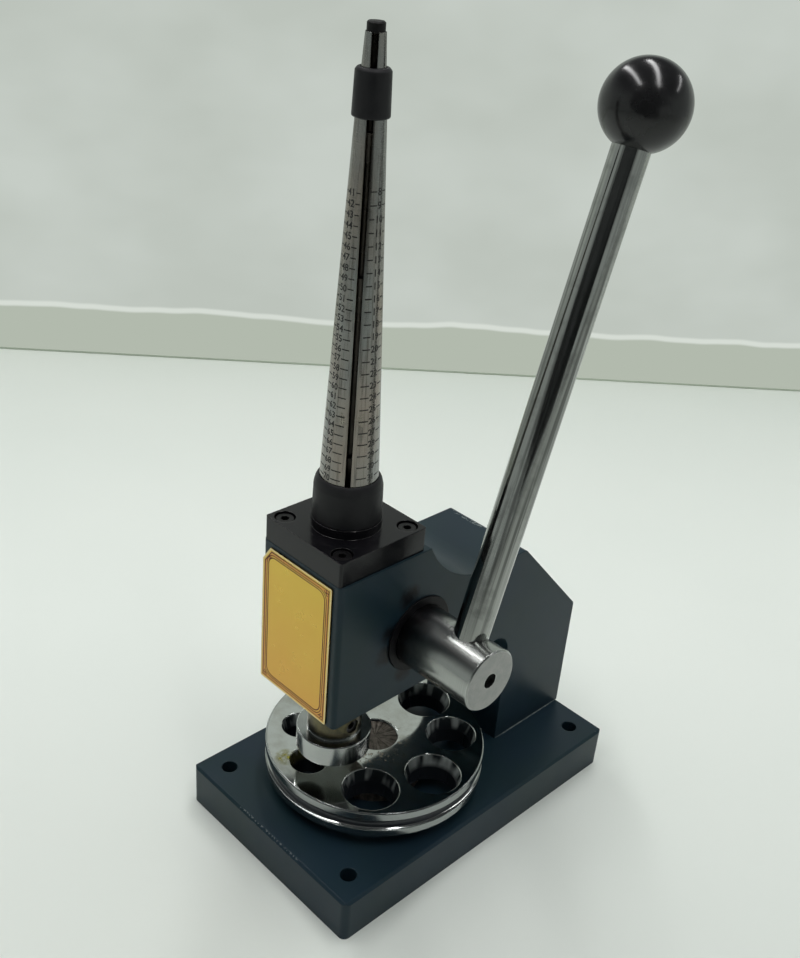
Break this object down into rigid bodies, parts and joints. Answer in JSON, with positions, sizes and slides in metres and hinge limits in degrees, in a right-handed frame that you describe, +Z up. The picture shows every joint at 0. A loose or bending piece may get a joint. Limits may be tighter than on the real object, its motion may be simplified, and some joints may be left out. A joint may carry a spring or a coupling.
{
  "type": "ring stretcher",
  "caption": "Bench ring stretcher: a lever and pinion draw down a ram that spreads a tall slit mandrel and presses rings into the tapered dies of a turning plate.",
  "frame": {"origin": "centre of the base's underside", "axes": "+Z up, front (the side the name plate faces) is -Y, the lever is on the +X side"},
  "size_m": [0.1145, 0.165, 0.3371],
  "materials": {
    "paint": "gloss",
    "black_steel": "black oxide, satin",
    "gold_plate": "satin, printed border",
    "bronze": "machined",
    "chrome": "polished",
    "polished_steel": "polished",
    "steel": "fine ground",
    "rough_steel": "rough turned, greasy",
    "rubber": "matte",
    "black_plastic": "gloss",
    "brass": "machined"
  },
  "bodies": {
    "stand": {"base_plate": "paint", "frame": "paint", "frame_bolts": "black_steel", "mandrel_cover": "black_steel", "cover_screws": "black_steel", "name_plate": "gold_plate", "shaft_bush_right": "black_steel", "shaft_bush_left": "bronze", "lower_sleeve": "rubber", "upper_sleeve": "rubber"},
    "lever": {"pinion_shaft": "chrome", "shaft_washer": "black_steel", "shaft_screw": "black_steel", "lever_rod": "chrome", "lever_lock_screw": "black_steel", "ball_knob": "black_plastic", "knob_insert": "brass"},
    "ram": {"rack_ram": "steel", "draw_rod": "steel", "draw_rod_nut": "black_steel", "draw_rod_tip": "black_steel", "presser": "polished_steel", "presser_screw": "black_steel"},
    "mandrel_segment_1": {"mandrel_segment_1": "steel"},
    "mandrel_segment_2": {"mandrel_segment_2": "steel"},
    "mandrel_segment_3": {"mandrel_segment_3": "steel"},
    "mandrel_segment_4": {"mandrel_segment_4": "steel"},
    "spindle": {"plate_spindle": "rough_steel"},
    "die_plate": {"die_plate": "polished_steel"}
  },
  "joints": [
    {"name": "lever_turn", "type": "hinge", "parent": "stand", "child": "lever", "pos_m": [0, -0.0245, 0.1093], "axis": [1, 0, 0], "range_deg": [0, 42]},
    {"name": "ram_slide", "type": "slide", "parent": "stand", "child": "ram", "axis": [0, 0, -1], "range_m": [0, 0.0088]},
    {"name": "segment_1_slide", "type": "slide", "parent": "stand", "child": "mandrel_segment_1", "axis": [1, 0, 0], "range_m": [0, 0.0005], "deforming": ["lower_sleeve", "upper_sleeve"]},
    {"name": "segment_2_slide", "type": "slide", "parent": "stand", "child": "mandrel_segment_2", "axis": [0, 1, 0], "range_m": [0, 0.0005]},
    {"name": "segment_3_slide", "type": "slide", "parent": "stand", "child": "mandrel_segment_3", "axis": [-1, 0, 0], "range_m": [0, 0.0005]},
    {"name": "segment_4_slide", "type": "slide", "parent": "stand", "child": "mandrel_segment_4", "axis": [0, -1, 0], "range_m": [0, 0.0005]},
    {"name": "plate_shift", "type": "slide", "parent": "stand", "child": "spindle", "axis": [0, 1, 0], "range_m": [0, 0.0085]},
    {"name": "plate_turn", "type": "hinge", "parent": "spindle", "child": "die_plate", "pos_m": [0, -0.021, 0.026], "axis": [0, 0, 1], "continuous": true}
  ],
  "couplings": [
    {"joint": "ram_slide", "follows": "lever_turn", "m_per_rad": 0.012},
    {"joint": "segment_1_slide", "follows": "lever_turn", "m_per_rad": 0.000682},
    {"joint": "segment_2_slide", "follows": "lever_turn", "m_per_rad": 0.000682},
    {"joint": "segment_3_slide", "follows": "lever_turn", "m_per_rad": 0.000682},
    {"joint": "segment_4_slide", "follows": "lever_turn", "m_per_rad": 0.000682}
  ]
}
